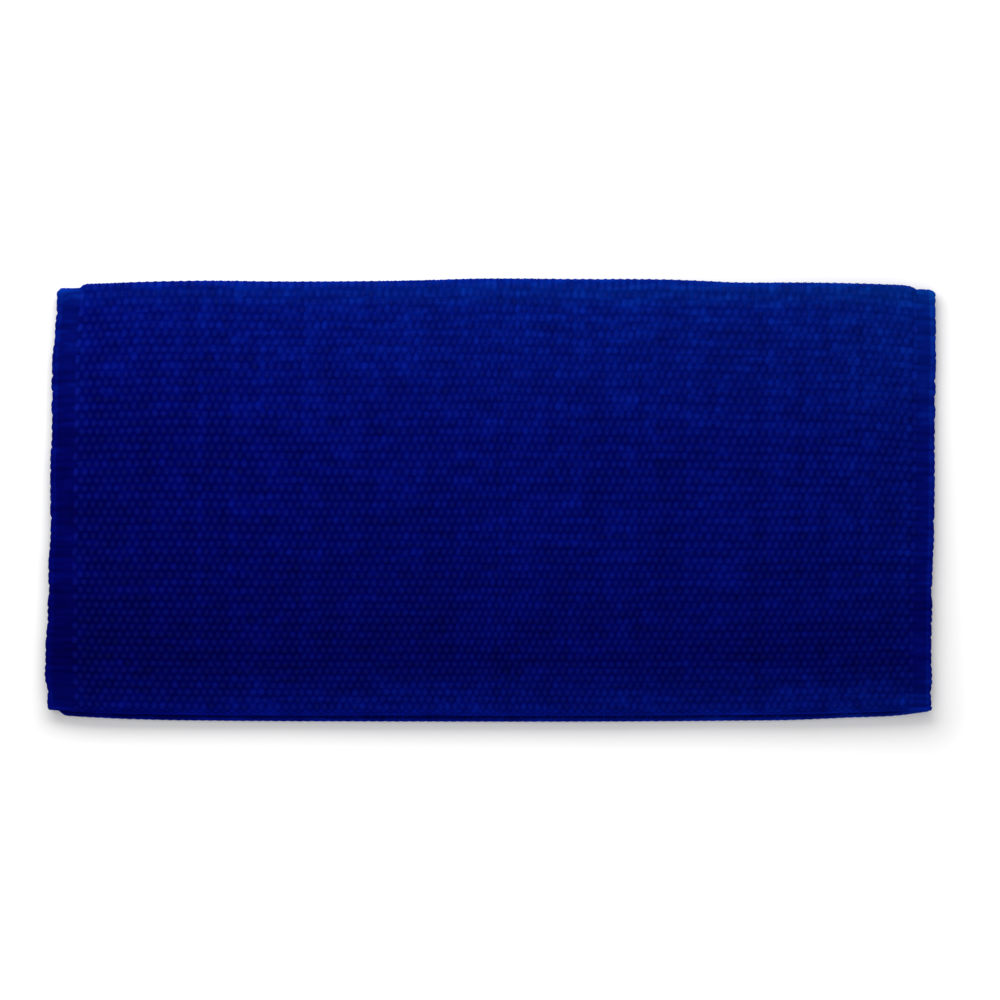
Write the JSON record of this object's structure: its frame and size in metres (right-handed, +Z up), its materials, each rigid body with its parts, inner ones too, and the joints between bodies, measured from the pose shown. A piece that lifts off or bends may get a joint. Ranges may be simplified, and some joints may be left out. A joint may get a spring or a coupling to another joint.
{
  "type": "saddle blanket",
  "caption": "Heavy woven wool saddle blanket, rectangular, folded once and lying flat, with thin fine-ribbed bands at both ends.",
  "frame": {"origin": "on the surface that the blanket lies on, under the middle of its outline seen from above", "axes": "+X along the fold, +Y from the two open edges to the fold, +Z up, away from the surface"},
  "size_m": [0.9222, 0.4582, 0.023],
  "materials": {
    "dyed_wool": "royal blue dyed wool in a heavy weft-faced plain weave, matt with a faint sheen"
  },
  "bodies": {
    "root": {"blanket": "dyed_wool"}
  },
  "joints": []
}
